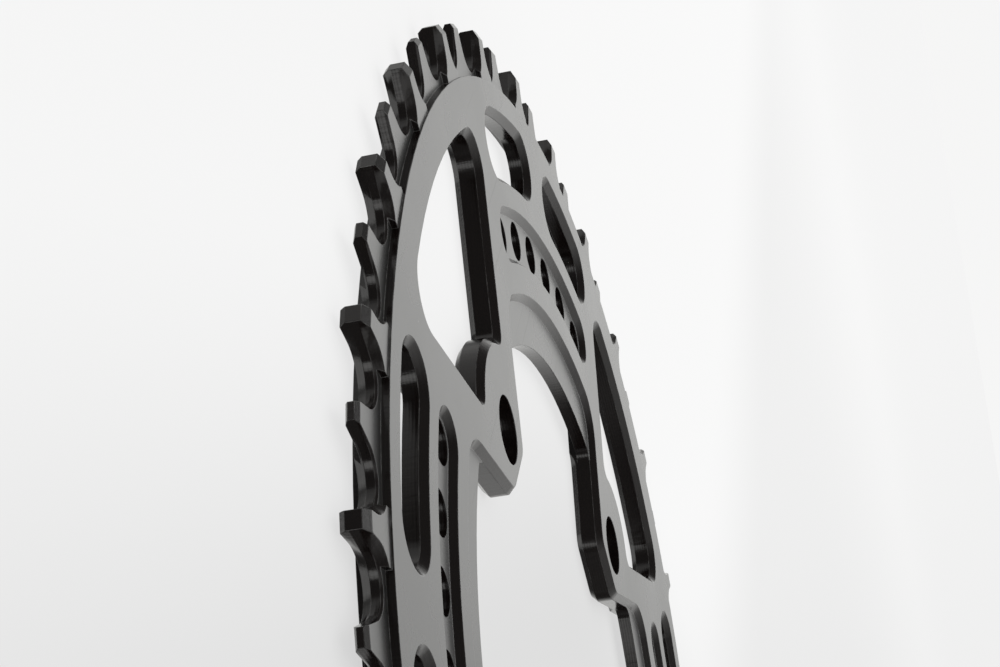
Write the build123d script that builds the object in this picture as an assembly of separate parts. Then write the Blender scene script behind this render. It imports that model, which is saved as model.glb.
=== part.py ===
from build123d import *
from math import atan, atan2, cos, hypot, pi, radians, sin, sqrt, tan
import os

os.makedirs("parts", exist_ok=True)

# Chainring that lies flat on its back with its front face up.
# Z is the ring's axis and Z = 0 is the back of the bolt arms.
# One bolt arm points along +X, and arms, windows, slots and pockets repeat at each quarter turn.

# Chain and teeth, wide ones and narrow ones by turns
tooth_count = 52
chain_pitch = 12.7
seat_r = 4.1
tooth_rise = 2.83
tip_width = 2.35
tooth_mid_z = 2.5
narrow_t = 1.75
narrow_tip_t = 0.85
narrow_tip_bevel = 0.8
wide_t = 3.5
wide_tip_t = 2.0
wide_front_bevel = 1.45
wide_back_bevel = 0.6

# Shoulders that carry the wide teeth, and the bevels of the seats between the teeth
shoulder_angle = 4.1
back_shoulder_w = 1.9
gap_bevel = 1.2
gap_flare = 0.85

# Plate
plate_t = 4.5
rim_step = 0.37
root_w = 3.0
front_bevel = 1.05
back_bevel = 0.95

# Bolt arms
arm_count = 4
bolt_circle_r = 52.0
bolt_hole_r = 5.1
arm_side_angle = 39.4
arm_side_wall = 4.32
arm_end_wall = 2.7
arm_end_fillet = 4.0

# Recess on the front of the inner rim, bounded by the arms as the open middle is
recess_w = 6.8
recess_corner_fillet = 6.5
inner_corner_fillet = 2.5

# Windows outside the bolts, a strut's width away from each side of the arm
window_rim_w = 8.05
strut_w = 8.33
boss_wall = 8.4
window_top_fillet = 5.0
window_low_fillet = 1.6

# Slots, two between each pair of arms
slot_rim_w = 5.075
slot_w = 9.75
slot_half_angle = 6.2
slot_offset_angle = 12.6

# Shallow pockets, one between each pair of arms, with a row of round holes in its floor
pocket_to_slot = 5.875
pocket_to_recess = 6.75
pocket_w = 6.8
pocket_half_angle = 19.75
pocket_hole_d = 6.3
pocket_hole_count = 6
pocket_hole_step = 7.86

# Relief milled into the back between each pair of arms
relief_rim_w = 3.55
relief_depth = 1.3
relief_corner_fillet = 3.0

# How far cutters reach past what they cut
clear = 1.0

pitch_r = chain_pitch / 2 / sin(pi / tooth_count)
tip_r = pitch_r + tooth_rise
body_r = pitch_r - seat_r - gap_flare - rim_step
back_shoulder_r = body_r + back_shoulder_w
window_r = body_r - window_rim_w
relief_r = body_r - relief_rim_w
slot_mid_r = body_r - slot_rim_w - slot_w / 2
pocket_mid_r = slot_mid_r - slot_w / 2 - pocket_to_slot - pocket_w / 2
recess_r = pocket_mid_r - pocket_w / 2 - pocket_to_recess
inner_r = recess_r - recess_w
arm_end_r = bolt_circle_r - bolt_hole_r - arm_end_wall
arm_side_from_bolt = bolt_hole_r + arm_side_wall
boss_r = bolt_hole_r + boss_wall
tooth_angle = 360 / tooth_count
arm_angle = 360 / arm_count
slope = tan(radians(arm_side_angle))
wide_front_z = tooth_mid_z + wide_t / 2
wide_back_z = tooth_mid_z - wide_t / 2
narrow_front_z = tooth_mid_z + narrow_t / 2
narrow_back_z = tooth_mid_z - narrow_t / 2


def polar(r, a):
    return (r * cos(radians(a)), r * sin(radians(a)))


def on_arms(shape):
    # The same shape at each arm
    return [Rot(0, 0, i * arm_angle) * shape for i in range(arm_count)]


def between_arms(shape):
    # The same shape half way between each pair of arms
    return [Rot(0, 0, (i + 0.5) * arm_angle) * shape for i in range(arm_count)]


def wedge(side_from_bolt, reach):
    # Region between two sides at the arms' slope, this far on each side of the bolt
    tip_x = bolt_circle_r - side_from_bolt / sin(radians(arm_side_angle))
    half = slope * (reach - tip_x)
    return make_face(Polyline((tip_x, 0), (reach, -half), (reach, half), close=True))


def arm_shape(reach):
    # Plan of a bolt arm about +X: a flat inner end and two sides that open outwards
    shape = wedge(arm_side_from_bolt, reach)
    shape -= Pos(arm_end_r, 0) * Rectangle(2 * arm_end_r, 2 * arm_end_r, align=(Align.MAX, Align.CENTER))
    corners = shape.vertices().sort_by(Axis.X)[:2]
    return fillet(corners, arm_end_fillet)


def open_middle(radius, corner_fillet):
    # Everything inside the radius that the arms leave free
    shape = Circle(radius)
    for arm in on_arms(arm_shape(radius + clear)):
        shape -= arm
    corners = shape.vertices().filter_by(lambda v: abs(hypot(v.X, v.Y) - radius) < 0.01)
    return fillet(corners, corner_fillet)


def window_shape():
    # Plan of a window about +X: outer arc, two sides and the arc of the bolt's boss
    shape = wedge(arm_side_from_bolt - strut_w, window_r + clear) & Circle(window_r)
    shape -= Pos(bolt_circle_r, 0) * Circle(boss_r)
    shape = shape.faces().sort_by(Axis.X)[-1]
    corners = shape.vertices().sort_by(Axis.X)
    shape = fillet(corners[-2:], window_top_fillet)
    corners = shape.vertices().sort_by(Axis.X)
    return fillet(corners[:2], window_low_fillet)


def arc_slot(mid_r, width, half_angle, centre_angle):
    path = CenterArc((0, 0), mid_r, centre_angle - half_angle, 2 * half_angle)
    return SlotArc(path, width)


def cut_with_bevels(shape, front, back):
    # Cutter through the plate that opens out at 45 degrees towards each face
    tools = [Pos(0, 0, back) * extrude(shape, plate_t - front - back)]
    tools.append(Pos(0, 0, plate_t - front) * extrude(shape, front, taper=-45))
    if back > 0:
        tools.append(Pos(0, 0, back) * extrude(shape, -back, taper=-45))
    return tools


def body_plate():
    plate = extrude(Circle(body_r), plate_t)
    cuts = []
    middle = open_middle(inner_r, inner_corner_fillet)
    cuts.append(extrude(middle, plate_t))
    cuts.append(Pos(0, 0, back_bevel) * extrude(middle, -back_bevel, taper=-45))
    recess = open_middle(recess_r, recess_corner_fillet)
    cuts.append(Pos(0, 0, plate_t - front_bevel) * extrude(recess, front_bevel, taper=-45))
    for tool in cut_with_bevels(window_shape(), front_bevel, back_bevel):
        cuts += on_arms(tool)
    cuts += on_arms(Pos(bolt_circle_r, 0) * extrude(Circle(bolt_hole_r), plate_t))
    for side in (-1, 1):
        slot = arc_slot(slot_mid_r, slot_w, slot_half_angle, side * slot_offset_angle)
        for tool in cut_with_bevels(slot, front_bevel, 0):
            cuts += between_arms(tool)
    pocket = arc_slot(pocket_mid_r, pocket_w, pocket_half_angle, 0)
    cuts += between_arms(Pos(0, 0, plate_t - front_bevel) * extrude(pocket, front_bevel, taper=-45))
    for i in range(pocket_hole_count):
        angle = (i - (pocket_hole_count - 1) / 2) * pocket_hole_step
        hole = Pos(*polar(pocket_mid_r, angle)) * extrude(Circle(pocket_hole_d / 2), plate_t)
        cuts += between_arms(hole)
    relief = Circle(relief_r) - Circle(arm_end_r)
    for arm in on_arms(wedge(arm_side_from_bolt, relief_r + clear)):
        relief -= arm
    corners = relief.vertices().filter_by(lambda v: hypot(v.X, v.Y) > relief_r - 0.01)
    cuts.append(extrude(fillet(corners, relief_corner_fillet), relief_depth))
    return plate - cuts


def tooth_profile(gap_r):
    # Closed outline of all teeth: arcs at the bottom of the gaps, joined to flat tips by tangent flanks
    half_angle = tooth_angle / 2
    gap_x, gap_y = polar(pitch_r, half_angle)
    tip_x = sqrt(tip_r ** 2 - (tip_width / 2) ** 2)
    tip_y = tip_width / 2
    reach = hypot(tip_x - gap_x, tip_y - gap_y)
    towards = atan2(tip_y - gap_y, tip_x - gap_x)
    touch = towards - atan(sqrt(reach ** 2 - gap_r ** 2) / gap_r)
    flank_x = gap_x + gap_r * cos(touch)
    flank_y = gap_y + gap_r * sin(touch)
    edges = []
    for i in range(tooth_count):
        turn = Rot(0, 0, i * tooth_angle)
        next_turn = Rot(0, 0, (i + 1) * tooth_angle)
        low = (turn * Pos(flank_x, -flank_y)).position
        tip_low = (turn * Pos(tip_x, -tip_y)).position
        tip_high = (turn * Pos(tip_x, tip_y)).position
        high = (turn * Pos(flank_x, flank_y)).position
        gap_bottom = (turn * Pos(*polar(pitch_r - gap_r, half_angle))).position
        next_low = (next_turn * Pos(flank_x, -flank_y)).position
        edges.append(Line(low, tip_low))
        edges.append(Line(tip_low, tip_high))
        edges.append(Line(tip_high, high))
        edges.append(ThreePointArc(high, gap_bottom, next_low))
    return make_face(edges)


def turned(points, start, angle):
    # A section drawn in radius and height, turned about Z from the start angle
    section = Plane.XZ * make_face(Polyline(*points, close=True))
    return Rot(0, 0, start) * revolve(section, Axis.Z, angle)


def tip_bevel(face_z, drop, radial, tooth):
    # Flat bevel across the tip of one tooth, on the face at this height
    side = 1 if face_z > tooth_mid_z else -1
    fall = drop * (radial + clear) / radial
    corners = [
        (tip_r - radial, face_z),
        (tip_r + clear, face_z - side * fall),
        (tip_r + clear, face_z + side * clear),
        (tip_r - radial, face_z + side * clear),
    ]
    section = Plane.XZ * make_face(Polyline(*corners, close=True))
    return Rot(0, 0, tooth * tooth_angle) * extrude(section, tip_width, both=True)


def tooth_ring():
    # Wide teeth all round first, with gaps that open out towards both sides
    open_profile = tooth_profile(seat_r + gap_flare)
    seat_profile = tooth_profile(seat_r)
    sections = [
        Pos(0, 0, wide_back_z) * open_profile,
        Pos(0, 0, wide_back_z + gap_bevel) * seat_profile,
        Pos(0, 0, wide_front_z - gap_bevel) * seat_profile,
        Pos(0, 0, wide_front_z) * open_profile,
    ]
    ring = loft(sections, ruled=True) - extrude(Circle(body_r - root_w), plate_t)
    # Every second tooth is then milled down on both sides between the shoulders
    over_r = tip_r + clear
    front_section = [
        (body_r, narrow_front_z),
        (over_r, narrow_front_z),
        (over_r, wide_front_z + clear),
        (body_r, wide_front_z + clear),
    ]
    back_section = [
        (back_shoulder_r, narrow_back_z),
        (over_r, narrow_back_z),
        (over_r, wide_back_z - clear),
        (back_shoulder_r, wide_back_z - clear),
    ]
    wide_drop = (wide_t - wide_tip_t) / 2
    narrow_drop = (narrow_t - narrow_tip_t) / 2
    cuts = []
    for i in range(tooth_count // 2):
        start = (2 * i - 1) * tooth_angle + shoulder_angle / 2
        span = 2 * tooth_angle - shoulder_angle
        cuts.append(turned(front_section, start, span))
        cuts.append(turned(back_section, start, span))
        cuts.append(tip_bevel(wide_front_z, wide_drop, wide_front_bevel, 2 * i + 1))
        cuts.append(tip_bevel(wide_back_z, wide_drop, wide_back_bevel, 2 * i + 1))
        for face_z in (narrow_front_z, narrow_back_z):
            cuts.append(tip_bevel(face_z, narrow_drop, narrow_tip_bevel, 2 * i))
    return ring - cuts


chainring = body_plate() + tooth_ring()
export_step(chainring, "parts/chainring.step")
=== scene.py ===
import math

import bpy
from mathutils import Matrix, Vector

# A black anodised chainring lying flat on a white table, seen from close above its front face

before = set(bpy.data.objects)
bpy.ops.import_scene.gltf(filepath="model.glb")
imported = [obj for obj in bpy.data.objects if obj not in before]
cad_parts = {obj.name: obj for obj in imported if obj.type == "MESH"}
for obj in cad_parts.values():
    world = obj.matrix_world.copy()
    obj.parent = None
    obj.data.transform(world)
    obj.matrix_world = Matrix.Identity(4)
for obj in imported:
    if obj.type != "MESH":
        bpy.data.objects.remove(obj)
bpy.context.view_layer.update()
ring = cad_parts["chainring"]
scene = bpy.context.scene


# Camera

camera = {
    "place": (-0.27419, 0.19269, 0.07096),    # metres
    "turn": (37.4627, -74.8260, -63.0574),    # degrees about x, y and z
    "lens": 79.561,
    "sensor": 36.0,
    "clip": (0.005, 200.0),                    # metres
}

cameraData = bpy.data.cameras.new("camera")
cameraData.lens = camera["lens"]
cameraData.sensor_width = camera["sensor"]
cameraData.clip_start, cameraData.clip_end = camera["clip"]
cameraObject = bpy.data.objects.new("camera", cameraData)
cameraObject.location = camera["place"]
cameraObject.rotation_euler = [math.radians(angle) for angle in camera["turn"]]
scene.collection.objects.link(cameraObject)
scene.camera = cameraObject
print("camera set")


# Node helpers

def addNode(tree, kind, x, y, **inputs):
    node = tree.nodes.new(kind)
    node.location = (x, y)
    for name, value in inputs.items():
        node.inputs[name.replace("_", " ")].default_value = value
    return node


def feed(tree, value, socket):
    if isinstance(value, (int, float)):
        socket.default_value = value
    elif isinstance(value, (tuple, list)):
        socket.default_value = (*value, 1.0)
    else:
        tree.links.new(value, socket)


def calculate(tree, operation, x, y, first, second=None):
    node = addNode(tree, "ShaderNodeMath", x, y)
    node.operation = operation
    feed(tree, first, node.inputs[0])
    if second is not None:
        feed(tree, second, node.inputs[1])
    return node.outputs[0]


def rescale(tree, x, y, value, lowIn, highIn, lowOut=0.0, highOut=1.0, smooth=False):
    node = addNode(tree, "ShaderNodeMapRange", x, y)
    node.interpolation_type = "SMOOTHSTEP" if smooth else "LINEAR"
    feed(tree, value, node.inputs["Value"])
    limits = {"From Min": lowIn, "From Max": highIn, "To Min": lowOut, "To Max": highOut}
    for name, limit in limits.items():
        feed(tree, limit, node.inputs[name])
    return node.outputs["Result"]


def blendColours(tree, x, y, share, first, second):
    node = addNode(tree, "ShaderNodeMix", x, y)
    node.data_type = "RGBA"
    feed(tree, share, node.inputs["Factor"])
    feed(tree, first, node.inputs[6])     # a Mix node's colours are its sockets 6 and 7
    feed(tree, second, node.inputs[7])
    return node.outputs[2]


def blendValues(tree, x, y, share, first, second):
    node = addNode(tree, "ShaderNodeMix", x, y)
    feed(tree, share, node.inputs[0])
    feed(tree, first, node.inputs[2])     # and its plain values are 2 and 3
    feed(tree, second, node.inputs[3])
    return node.outputs[0]


def alongDirection(tree, x, y, vector, direction):
    node = addNode(tree, "ShaderNodeVectorMath", x, y)
    node.operation = "DOT_PRODUCT"
    tree.links.new(vector, node.inputs[0])
    node.inputs[1].default_value = Vector(direction).normalized()
    return node.outputs["Value"]


def newGroup(name, inputs, outputs):
    group = bpy.data.node_groups.new(name, "ShaderNodeTree")
    for label, kind, value in inputs:
        socket = group.interface.new_socket(label, in_out="INPUT", socket_type=kind)
        if value is not None:
            socket.default_value = value
    for label, kind in outputs:
        group.interface.new_socket(label, in_out="OUTPUT", socket_type=kind)
    start = addNode(group, "NodeGroupInput", -1400, 0)
    end = addNode(group, "NodeGroupOutput", 900, 0)
    return group, start, end


def placeGroup(tree, group, x, y, **inputs):
    node = addNode(tree, "ShaderNodeGroup", x, y)
    node.node_tree = group
    for name, value in inputs.items():
        node.inputs[name.replace("_", " ")].default_value = value
    return node


def noise(group, start, x, y, scale, detail, roughness):
    node = addNode(group, "ShaderNodeTexNoise", x, y, Detail=detail, Roughness=roughness)
    group.links.new(start.outputs["Vector"], node.inputs["Vector"])
    feed(group, start.outputs[scale] if isinstance(scale, str) else scale, node.inputs["Scale"])
    return node.outputs["Fac"]


# Fine grain of a bead-blasted surface, with slow cloudy changes of shade

grainValues = {
    "fine": {"detail": 2.0, "roughness": 0.6},
    "cloud": {"detail": 4.0, "roughness": 0.55},
    "cloudRange": (0.35, 0.65),    # noise between which the clouds come in
}


def buildBlastGrain(values):
    group, start, end = newGroup(
        "blastGrain",
        [("Vector", "NodeSocketVector", None), ("Grain Scale", "NodeSocketFloat", 4000.0),
         ("Cloud Scale", "NodeSocketFloat", 45.0)],
        [("Height", "NodeSocketFloat"), ("Cloud", "NodeSocketFloat")],
    )
    fine = noise(group, start, -800, 250, "Grain Scale", **values["fine"])
    cloud = noise(group, start, -800, -150, "Cloud Scale", **values["cloud"])
    group.links.new(fine, end.inputs["Height"])
    group.links.new(rescale(group, -300, -150, cloud, *values["cloudRange"]), end.inputs["Cloud"])
    return group


# Faint waves that the cutter leaves on a milled wall

waveValues = {
    "stretch": (1.0, 1.0, 0.12),    # the marks are long along the cutter
    "marks": {"Detail": 3.0, "Roughness": 0.6},
    "wander": {"scale": 90.0, "detail": 1.0, "roughness": 0.5},
    "wanderHeight": 0.0006,         # metres that a line rises and falls
    "lineShare": 0.10,              # of the lines, beside the marks
}


def buildCutterWaves(values):
    group, start, end = newGroup(
        "cutterWaves",
        [("Vector", "NodeSocketVector", None), ("Wave Scale", "NodeSocketFloat", 900.0),
         ("Line Pitch", "NodeSocketFloat", 0.0004)],
        [("Height", "NodeSocketFloat")],
    )
    stretch = addNode(group, "ShaderNodeMapping", -1150, 250, Scale=values["stretch"])
    group.links.new(start.outputs["Vector"], stretch.inputs["Vector"])
    marks = addNode(group, "ShaderNodeTexNoise", -900, 250, **values["marks"])
    group.links.new(stretch.outputs[0], marks.inputs["Vector"])
    group.links.new(start.outputs["Wave Scale"], marks.inputs["Scale"])
    split = addNode(group, "ShaderNodeSeparateXYZ", -1100, -100)
    group.links.new(start.outputs["Vector"], split.inputs[0])
    sway = noise(group, start, -900, -300, **values["wander"])
    wander = calculate(group, "MULTIPLY", -700, -300, sway, values["wanderHeight"])
    level = calculate(group, "ADD", -500, -150, split.outputs["Z"], wander)
    turns = calculate(group, "DIVIDE", -300, -150, level, start.outputs["Line Pitch"])
    angle = calculate(group, "MULTIPLY", -100, -150, turns, 2.0 * math.pi)
    wave = calculate(group, "SINE", 100, -150, angle)
    lines = rescale(group, 300, -150, wave, -1.0, 1.0, 0.0, values["lineShare"])
    height = calculate(group, "ADD", 600, 0, marks.outputs["Fac"], lines)
    group.links.new(height, end.inputs["Height"])
    return group


# Hairline scratches in two directions, from stretched noise

hairlineValues = {
    "layers": ((0.5, 40.0), (2.1, 55.0)),    # turn in radians and stretch of each direction
    "line": {"Detail": 1.0, "Roughness": 0.4},
    "lineRange": (0.71, 0.76),               # noise between which a scratch comes in
}


def buildHairlines(values):
    group, start, end = newGroup(
        "hairlines",
        [("Vector", "NodeSocketVector", None), ("Line Scale", "NodeSocketFloat", 30.0),
         ("Amount", "NodeSocketFloat", 0.5)],
        [("Mask", "NodeSocketFloat")],
    )
    masks = []
    for index, (turn, stretch) in enumerate(values["layers"]):
        low = -300 * index
        place = addNode(group, "ShaderNodeMapping", -1100, low)
        place.inputs["Rotation"].default_value = (0.0, 0.0, turn)
        place.inputs["Scale"].default_value = (1.0, stretch, 1.0)
        group.links.new(start.outputs["Vector"], place.inputs["Vector"])
        line = addNode(group, "ShaderNodeTexNoise", -850, low, **values["line"])
        group.links.new(place.outputs[0], line.inputs["Vector"])
        group.links.new(start.outputs["Line Scale"], line.inputs["Scale"])
        masks.append(rescale(group, -600, low, line.outputs["Fac"], *values["lineRange"]))
    both = calculate(group, "MAXIMUM", -300, 0, *masks)
    mask = calculate(group, "MULTIPLY", 0, 0, both, start.outputs["Amount"])
    group.links.new(mask, end.inputs["Mask"])
    return group


# Small specks of dust, each a dot of its own size

dustValues = {
    "chosen": (0.82, 1.0),    # a cell whose random value is above the first has a speck
}


def buildDustSpecks(values):
    group, start, end = newGroup(
        "dustSpecks",
        [("Vector", "NodeSocketVector", None), ("Speck Scale", "NodeSocketFloat", 450.0),
         ("Speck Size", "NodeSocketFloat", 0.06)],
        [("Mask", "NodeSocketFloat")],
    )
    dots = addNode(group, "ShaderNodeTexVoronoi", -900, 100)
    group.links.new(start.outputs["Vector"], dots.inputs["Vector"])
    group.links.new(start.outputs["Speck Scale"], dots.inputs["Scale"])
    split = addNode(group, "ShaderNodeSeparateColor", -650, -100)
    group.links.new(dots.outputs["Color"], split.inputs[0])
    chosen = rescale(group, -400, -100, split.outputs[0], *values["chosen"])
    size = calculate(group, "MULTIPLY", -200, -100, chosen, start.outputs["Speck Size"])
    inside = calculate(group, "LESS_THAN", 100, 100, dots.outputs["Distance"], size)
    group.links.new(inside, end.inputs["Mask"])
    return group


# Edges: a rounded normal, and a patchy mask where the finish is thin, which also carries a painted
# highlight along the edges

edgeWearAndHighlightValues = {
    "samples": 6,
    "turned": (0.99, 0.86),                   # how far the rounded normal leaves the true one
    "patches": {"detail": 5.0, "roughness": 0.65},
    "patchRange": (0.46, 0.64, 0.15, 1.0),    # noise from and to, wear and painted highlight from and to
}


def buildEdgeWearAndHighlight(values):
    group, start, end = newGroup(
        "edgeWearAndHighlightGroup",
        [("Vector", "NodeSocketVector", None), ("Radius", "NodeSocketFloat", 0.0002),
         ("Patch Scale", "NodeSocketFloat", 300.0)],
        [("Mask", "NodeSocketFloat"), ("Normal", "NodeSocketVector")],
    )
    rounded = addNode(group, "ShaderNodeBevel", -900, 200)
    rounded.samples = values["samples"]
    group.links.new(start.outputs["Radius"], rounded.inputs["Radius"])
    geometry = addNode(group, "ShaderNodeNewGeometry", -900, -50)
    turned = addNode(group, "ShaderNodeVectorMath", -650, 100)
    turned.operation = "DOT_PRODUCT"
    group.links.new(rounded.outputs["Normal"], turned.inputs[0])
    group.links.new(geometry.outputs["Normal"], turned.inputs[1])
    edge = rescale(group, -400, 100, turned.outputs["Value"], *values["turned"])
    patchNoise = noise(group, start, -900, -350, "Patch Scale", **values["patches"])
    patches = rescale(group, -400, -300, patchNoise, *values["patchRange"])
    group.links.new(calculate(group, "MULTIPLY", 0, 0, edge, patches), end.inputs["Mask"])
    group.links.new(rounded.outputs["Normal"], end.inputs["Normal"])
    return group


blastGrain = buildBlastGrain(grainValues)
cutterWaves = buildCutterWaves(waveValues)
hairlines = buildHairlines(hairlineValues)
dustSpecks = buildDustSpecks(dustValues)
edgeWearAndHighlightGroup = buildEdgeWearAndHighlight(edgeWearAndHighlightValues)
print("node groups built")


# Chainring

ringFinish = {
    "faceColour": (0.021, 0.021, 0.0205),
    "cloudColour": (0.029, 0.029, 0.028),
    "wallColour": (0.0048, 0.0031, 0.0027),    # the dye looks brown where the skin is thin
    # lighter grey on the edges: partly worn finish, partly a painted highlight along them
    "wornAndHighlightColour": (0.30, 0.295, 0.29),
    "wornAndHighlightShare": 0.60,
    "dustColour": (0.24, 0.24, 0.235),
    "dustShare": 0.5,
    "faceRoughness": 0.26,
    "wallRoughness": 0.15,
    "cloudRoughness": 0.03,
    "lineRoughness": 0.06,
    "ior": 1.5,
    "faceSlope": (0.80, 0.97),    # how upright the normal is, from wall to face
    "edgeRadius": 0.00020,        # metres
    "grainScale": 5200.0,
    "grainDepth": 0.04,
    "grainHeight": 0.00002,       # metres
    "waveScale": 2200.0,
    "waveDepth": 0.42,
    "waveHeight": 0.00005,        # metres
    "linePitch": 0.00045,         # metres
    "speckScale": 420.0,
}


def makeAnodised(values):
    material = bpy.data.materials.new("blackAnodised")
    material.use_nodes = True
    tree = material.node_tree
    tree.nodes.clear()
    output = addNode(tree, "ShaderNodeOutputMaterial", 1100, 0)
    shader = addNode(tree, "ShaderNodeBsdfPrincipled", 800, 0, Metallic=0.0, IOR=values["ior"])
    tree.links.new(shader.outputs[0], output.inputs["Surface"])
    place = addNode(tree, "ShaderNodeTexCoord", -1600, 0)
    geometry = addNode(tree, "ShaderNodeNewGeometry", -1600, -500)
    split = addNode(tree, "ShaderNodeSeparateXYZ", -1400, -500)
    tree.links.new(geometry.outputs["Normal"], split.inputs[0])
    upright = calculate(tree, "ABSOLUTE", -1200, -500, split.outputs["Z"])
    faceMask = rescale(tree, -1000, -500, upright, *values["faceSlope"])
    wallMask = calculate(tree, "SUBTRACT", -800, -650, 1.0, faceMask)
    grain = placeGroup(tree, blastGrain, -1200, 500, Grain_Scale=values["grainScale"])
    waves = placeGroup(tree, cutterWaves, -1200, 250,
                       Wave_Scale=values["waveScale"], Line_Pitch=values["linePitch"])
    lines = placeGroup(tree, hairlines, -1200, 50)
    specks = placeGroup(tree, dustSpecks, -1200, -100, Speck_Scale=values["speckScale"])
    edgeWearAndHighlight = placeGroup(tree, edgeWearAndHighlightGroup, -1200, -250, Radius=values["edgeRadius"])
    for node in (grain, waves, lines, specks, edgeWearAndHighlight):
        tree.links.new(place.outputs["Object"], node.inputs["Vector"])
    # colour
    face = blendColours(tree, -700, 400, grain.outputs["Cloud"],
                        values["faceColour"], values["cloudColour"])
    skin = blendColours(tree, -450, 350, faceMask, values["wallColour"], face)
    # the edges are lightened: partly worn anodising, partly a painted highlight
    wornAndHighlight = calculate(tree, "MULTIPLY", -450, 150, edgeWearAndHighlight.outputs["Mask"], values["wornAndHighlightShare"])
    edged = blendColours(tree, -200, 300, wornAndHighlight, skin, values["wornAndHighlightColour"])
    dusty = calculate(tree, "MULTIPLY", -200, 100, specks.outputs["Mask"], values["dustShare"])
    colour = blendColours(tree, 50, 300, dusty, edged, values["dustColour"])
    tree.links.new(colour, shader.inputs["Base Color"])
    # roughness
    base = rescale(tree, -700, -300, faceMask, 0.0, 1.0,
                   values["wallRoughness"], values["faceRoughness"])
    cloudy = calculate(tree, "MULTIPLY", -700, -450,
                       grain.outputs["Cloud"], values["cloudRoughness"])
    scratched = calculate(tree, "MULTIPLY", -450, -150,
                          lines.outputs["Mask"], values["lineRoughness"])
    unscratched = calculate(tree, "ADD", -450, -300, base, cloudy)
    rough = calculate(tree, "ADD", -200, -300, unscratched, scratched)
    tree.links.new(rough, shader.inputs["Roughness"])
    # relief
    faceGrain = calculate(tree, "MULTIPLY", -450, -600, grain.outputs["Height"], faceMask)
    wallWaves = calculate(tree, "MULTIPLY", -450, -750, waves.outputs["Height"], wallMask)
    grainBump = addNode(tree, "ShaderNodeBump", 200, -500,
                        Strength=values["grainDepth"], Distance=values["grainHeight"])
    tree.links.new(faceGrain, grainBump.inputs["Height"])
    tree.links.new(edgeWearAndHighlight.outputs["Normal"], grainBump.inputs["Normal"])
    waveBump = addNode(tree, "ShaderNodeBump", 450, -500,
                       Strength=values["waveDepth"], Distance=values["waveHeight"])
    tree.links.new(wallWaves, waveBump.inputs["Height"])
    tree.links.new(grainBump.outputs["Normal"], waveBump.inputs["Normal"])
    tree.links.new(waveBump.outputs["Normal"], shader.inputs["Normal"])
    return material


anodised = makeAnodised(ringFinish)
for slot in ring.material_slots:
    slot.material = anodised
print("chainring finished:", len(ring.data.polygons), "faces")


# Table and surroundings

table = {
    "size": 400.0,
    "gap": 0.00005,                           # under the ring's back, so that the two don't flicker
    "paper": (0.86, 0.86, 0.855),
    "own": 0.84,                              # share of its brightness that is its own
    "near": (0.010, 0.078, 0.715, 0.935),     # from and to in metres, shade and light
    "nearAlong": (0.4416, 0.883, 0.0),
    "far": (-0.150, -0.075, 0.865, 0.955),    # the same, across the far part
    "horizon": (0.42, 1.15, 0.952),           # where the far part evens out, and to what
    "farStarts": (0.025, 0.140),
    "lowSide": (-0.85, -0.35, 0.92, 1.0),     # Y over X from and to, shade and light
    "slopeFrom": 0.05,                        # least X, in metres, that Y is divided by
}

studio = {
    "background": 0.92,      # what the camera sees past the table
    "fill": 0.85,            # even light on the table and the ring
    "softColour": (1.0, 1.0, 0.997),
    "dim": 0.12,             # the room, in reflections
    "mirrorColour": (1.0, 0.998, 0.98),
    "panels": {              # direction, outer and inner cosine, strength
        "lowBackdrop": ((0.715, -0.688, -0.123), 0.62, 0.88, 0.72),
        "highBackdrop": ((0.231, -0.495, 0.838), 0.655, 0.997, 0.62),
        "frontPanel": ((0.962, -0.190, 0.190), 0.885, 0.990, 0.54),
        "sideWindow": ((-0.918, 0.128, -0.375), 0.957, 0.990, 2.00),
        "lowSide": ((0.560, 0.740, -0.373), 0.640, 0.900, 0.48),
        "below": ((0.0, 0.0, -1.0), 0.895, 0.970, 1.10),
        "roomBehind": ((-0.845, 0.307, 0.438), 0.770, 0.980, 0.80),
        "roomRight": ((0.033, 0.950, 0.309), 0.870, 0.990, 0.65),
        "roomLeft": ((-0.765, -0.597, 0.242), 0.885, 0.990, 0.65),
    },
}


def seenDirectly(tree, x, y):
    path = addNode(tree, "ShaderNodeLightPath", x, y)
    either = calculate(tree, "MAXIMUM", x + 200, y,
                       path.outputs["Is Camera Ray"], path.outputs["Is Glossy Ray"])
    return calculate(tree, "MAXIMUM", x + 400, y, either, path.outputs["Is Transmission Ray"])


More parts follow.
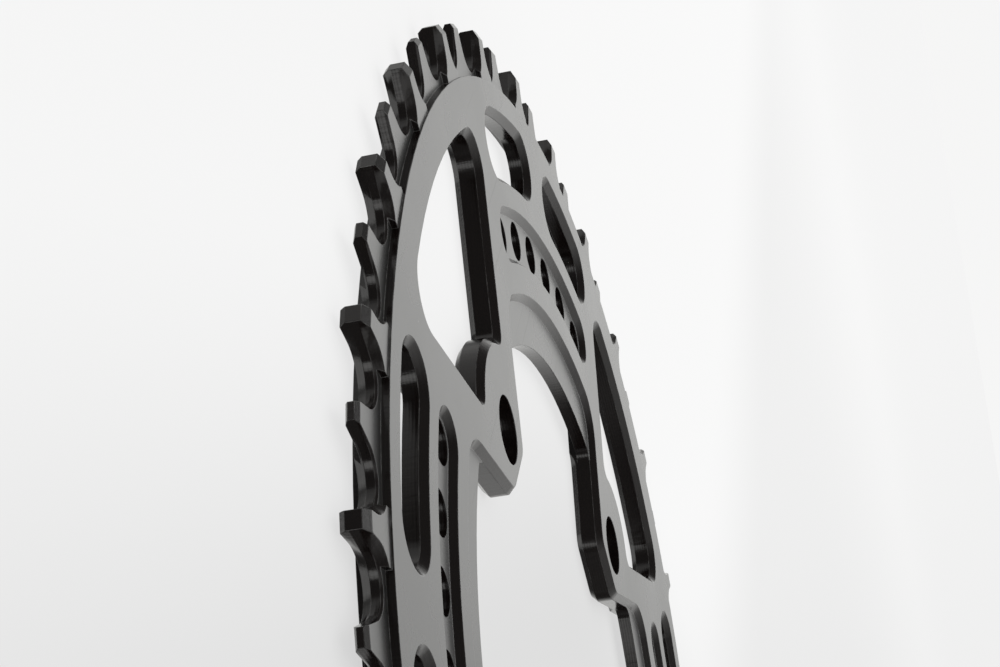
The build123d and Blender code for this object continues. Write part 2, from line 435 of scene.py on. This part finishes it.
def makeTable(values):
    half = values["size"] / 2.0
    mesh = bpy.data.meshes.new("table")
    corners = [(-half, -half, 0.0), (half, -half, 0.0), (half, half, 0.0), (-half, half, 0.0)]
    mesh.from_pydata(corners, [], [(0, 1, 2, 3)])
    top = bpy.data.objects.new("table", mesh)
    top.location.z = -values["gap"]
    scene.collection.objects.link(top)
    material = bpy.data.materials.new("whiteTable")
    material.use_nodes = True
    tree = material.node_tree
    tree.nodes.clear()
    output = addNode(tree, "ShaderNodeOutputMaterial", 900, 0)
    place = addNode(tree, "ShaderNodeTexCoord", -1200, 0)
    paper = addNode(tree, "ShaderNodeBsdfDiffuse", 200, 150, Color=(*values["paper"], 1.0))
    where = place.outputs["Object"]
    along = addNode(tree, "ShaderNodeVectorMath", -1000, 100)
    along.operation = "DOT_PRODUCT"
    along.inputs[1].default_value = values["nearAlong"]
    tree.links.new(where, along.inputs[0])
    near = rescale(tree, -800, 100, along.outputs["Value"], *values["near"], smooth=True)
    split = addNode(tree, "ShaderNodeSeparateXYZ", -1000, -150)
    tree.links.new(where, split.inputs[0])
    across = rescale(tree, -800, -150, split.outputs["Y"], *values["far"], smooth=True)
    evenFrom, evenTo, evenTone = values["horizon"]
    evening = rescale(tree, -800, -400, split.outputs["X"], evenFrom, evenTo, smooth=True)
    far = blendValues(tree, -550, -150, evening, across, evenTone)
    started = rescale(tree, -800, -650, split.outputs["X"], *values["farStarts"], smooth=True)
    away = calculate(tree, "MAXIMUM", -1000, -900, split.outputs["X"], values["slopeFrom"])
    slope = calculate(tree, "DIVIDE", -800, -900, split.outputs["Y"], away)
    shaded = rescale(tree, -550, -900, slope, *values["lowSide"], smooth=True)
    farShaded = calculate(tree, "MULTIPLY", -300, -300, far, shaded)
    # the table's glow is painted shade and light: a painted shadow darkest near the ring, a lighter
    # far part, and a shaded low side
    paintedShadeAndLight = blendValues(tree, -100, 0, started, near, farShaded)
    glow = addNode(tree, "ShaderNodeEmission", 200, -50)
    tree.links.new(paintedShadeAndLight, glow.inputs["Strength"])
    share = calculate(tree, "MULTIPLY", 200, -250, seenDirectly(tree, -700, -450), values["own"])
    blend = addNode(tree, "ShaderNodeMixShader", 500, 0)
    tree.links.new(share, blend.inputs[0])
    tree.links.new(paper.outputs[0], blend.inputs[1])
    tree.links.new(glow.outputs[0], blend.inputs[2])
    clear = addNode(tree, "ShaderNodeBsdfTransparent", 500, -200)    # for a view from below
    side = addNode(tree, "ShaderNodeNewGeometry", 500, 250)
    oneWay = addNode(tree, "ShaderNodeMixShader", 700, 0)
    tree.links.new(side.outputs["Backfacing"], oneWay.inputs[0])
    tree.links.new(blend.outputs[0], oneWay.inputs[1])
    tree.links.new(clear.outputs[0], oneWay.inputs[2])
    tree.links.new(oneWay.outputs[0], output.inputs["Surface"])
    mesh.materials.append(material)
    top.visible_glossy = False    # the ring's walls mirror the surroundings, not the table


def makeSurroundings(values):
    world = bpy.data.worlds.new("surroundings")
    scene.world = world
    world.use_nodes = True
    tree = world.node_tree
    tree.nodes.clear()
    output = addNode(tree, "ShaderNodeOutputWorld", 1000, 0)
    place = addNode(tree, "ShaderNodeTexCoord", -1200, 0)
    path = addNode(tree, "ShaderNodeLightPath", -600, 500)
    mirrored = values["dim"]
    for index, (direction, outer, inner, strength) in enumerate(values["panels"].values()):
        along = alongDirection(tree, -900, -250 * index, place.outputs["Generated"], direction)
        spot = rescale(tree, -600, -250 * index, along, outer, inner, 0.0, strength, smooth=True)
        mirrored = calculate(tree, "ADD", -300, -250 * index, spot, mirrored)
    soft = addNode(tree, "ShaderNodeBackground", 200, 200, Strength=values["fill"])
    seen = addNode(tree, "ShaderNodeBackground", 200, 0, Strength=values["background"])
    gloss = addNode(tree, "ShaderNodeBackground", 200, -200)
    for node in (soft, seen):
        feed(tree, values["softColour"], node.inputs["Color"])
    feed(tree, values["mirrorColour"], gloss.inputs["Color"])
    tree.links.new(mirrored, gloss.inputs["Strength"])
    passing = calculate(tree, "MAXIMUM", 0, 400,
                        path.outputs["Is Camera Ray"], path.outputs["Is Transmission Ray"])
    first = addNode(tree, "ShaderNodeMixShader", 500, 100)
    tree.links.new(passing, first.inputs[0])
    tree.links.new(soft.outputs[0], first.inputs[1])
    tree.links.new(seen.outputs[0], first.inputs[2])
    second = addNode(tree, "ShaderNodeMixShader", 750, 0)
    tree.links.new(path.outputs["Is Glossy Ray"], second.inputs[0])
    tree.links.new(first.outputs[0], second.inputs[1])
    tree.links.new(gloss.outputs[0], second.inputs[2])
    tree.links.new(second.outputs[0], output.inputs["Surface"])


makeTable(table)
makeSurroundings(studio)
print("table and surroundings made")


# Lamps

lamps = {
    "softbox": {
        "place": (0.75, -0.25, 0.95),    # metres
        "aim": (0.0, 0.0, 0.0),
        "size": 0.7,
        "power": 3.0,                    # watts
    },
}


def makeLamp(name, values):
    data = bpy.data.lights.new(name, "AREA")
    data.shape = "SQUARE"
    data.size = values["size"]
    data.energy = values["power"]
    lamp = bpy.data.objects.new(name, data)
    lamp.location = values["place"]
    direction = Vector(values["aim"]) - Vector(values["place"])
    lamp.rotation_euler = direction.to_track_quat("-Z", "Y").to_euler()
    scene.collection.objects.link(lamp)


for lampName, lampValues in lamps.items():
    makeLamp(lampName, lampValues)
print("lamps placed")

scene.view_settings.view_transform = "Standard"
